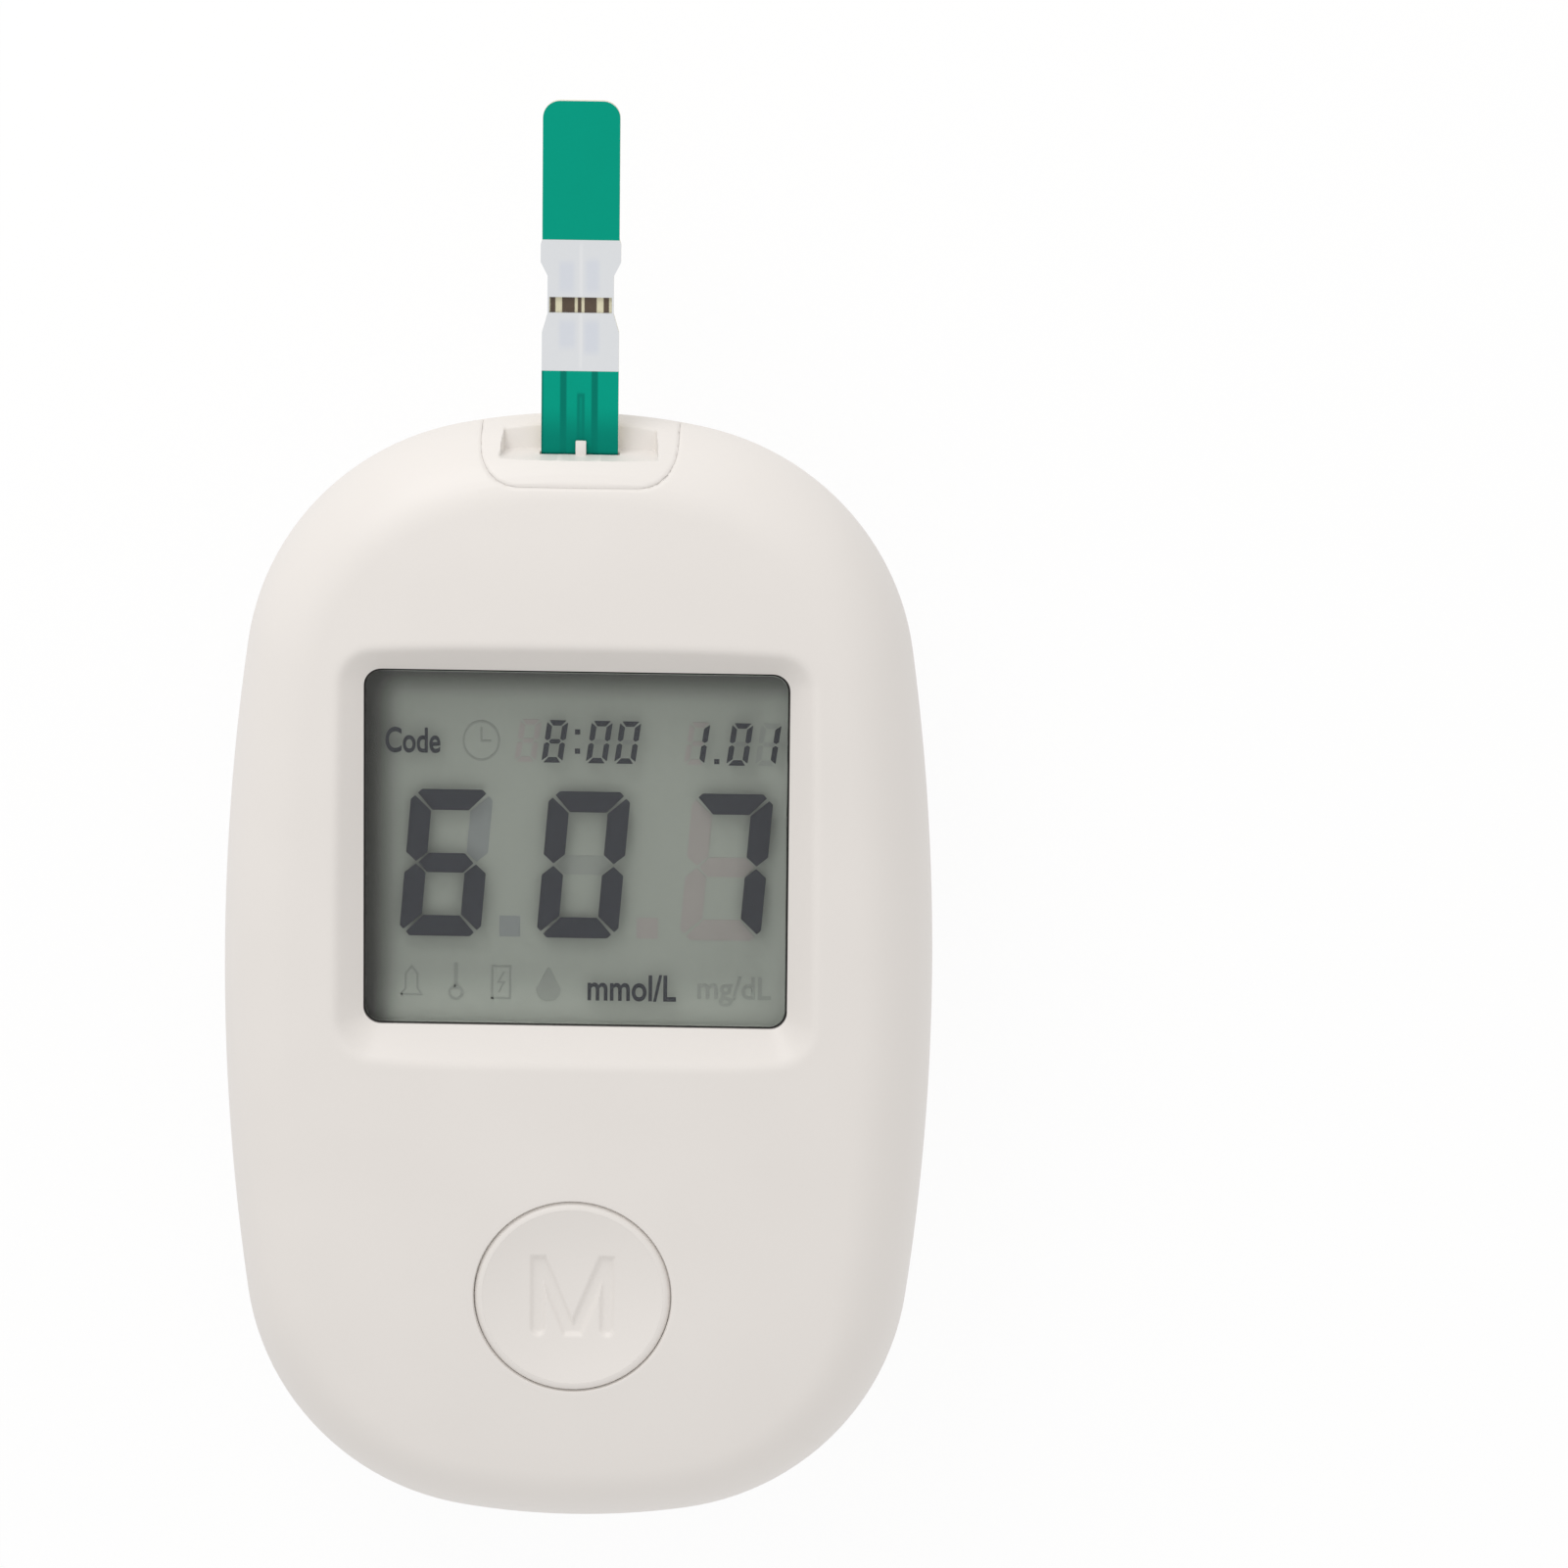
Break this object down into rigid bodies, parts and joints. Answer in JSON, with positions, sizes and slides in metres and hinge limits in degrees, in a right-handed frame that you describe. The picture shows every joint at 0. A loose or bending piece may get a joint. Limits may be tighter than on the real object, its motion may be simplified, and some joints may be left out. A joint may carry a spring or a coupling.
{
  "type": "blood glucose meter",
  "caption": "White egg-shaped blood glucose meter with display, round button and an inserted test strip.",
  "frame": {"origin": "centre of the flat rest face on the back", "axes": "+Z out of the display side, +Y to the strip end, +X to the right seen from the front"},
  "size_m": [0.0544, 0.1122, 0.0214],
  "materials": {
    "white_plastic": "fine satin",
    "button_plastic": "satin",
    "ivory_plastic": "satin",
    "dark_plastic": "satin",
    "black_tape": "matte",
    "grey_foam": "matte foam",
    "silicone": "matte",
    "pink_rubber": "matte",
    "carbon": "matte",
    "clear_lens": "clear",
    "display_glass": "clear",
    "grey_film": "satin film",
    "reflector": "matte",
    "label_film": "satin film",
    "board_green": "gloss",
    "chip_black": "matte",
    "ceramic_tan": "matte",
    "can_steel": "satin",
    "screw_steel": "satin",
    "nickel_plate": "polished",
    "gold_plate": "polished",
    "cell_jacket": "gloss film",
    "strip_film": "satin film",
    "conductor": "matte print",
    "strip_white": "satin film",
    "strip_green": "satin film"
  },
  "bodies": {
    "casing": {"front_cover": "white_plastic", "rear_cover": "white_plastic", "strip_port_bezel": "white_plastic", "case_screws": "screw_steel", "display_lens": "clear_lens", "lens_adhesive": "black_tape", "display_gasket": "grey_foam", "keypad_dome": "silicone", "lcd_front_glass": "display_glass", "lcd_rear_glass": "display_glass", "lcd_polarizer": "grey_film", "lcd_reflector": "reflector", "lcd_frame": "ivory_plastic", "elastomer_connectors": "pink_rubber", "main_board": "board_green", "board_screws": "screw_steel", "microcontroller": "chip_black", "amplifier_chip": "chip_black", "memory_chip": "chip_black", "clock_crystal": "can_steel", "chip_components": "ceramic_tan", "buzzer": "chip_black", "strip_connector_housing": "dark_plastic", "strip_contacts": "gold_plate", "battery_cell_left": "cell_jacket", "battery_cell_right": "cell_jacket", "positive_contact": "nickel_plate", "negative_contact": "nickel_plate", "link_contact": "nickel_plate", "battery_springs": "nickel_plate"},
    "button": {"memory_button": "button_plastic", "contact_pill": "carbon"},
    "door": {"battery_door": "white_plastic", "rear_label": "label_film"},
    "test_strip": {"strip_base": "strip_film", "strip_electrodes": "conductor", "strip_spacer_film": "strip_film", "strip_label_film": "strip_white", "strip_lead_film": "strip_green", "strip_grip_film": "strip_green"}
  },
  "joints": [
    {"name": "button_press", "type": "slide", "parent": "casing", "child": "button", "axis": [0, 0, -1], "range_m": [0, 0.0008], "stiffness_N_per_m": 500, "deforming": ["keypad_dome"]},
    {"name": "door_tip", "type": "hinge", "parent": "casing", "child": "door", "pos_m": [0, 0.0196, 0.0008], "axis": [1, 0, 0], "range_deg": [0, 70]},
    {"name": "strip_slide", "type": "slide", "parent": "casing", "child": "test_strip", "axis": [0, 1, 0], "range_m": [0, 0.007]}
  ]
}
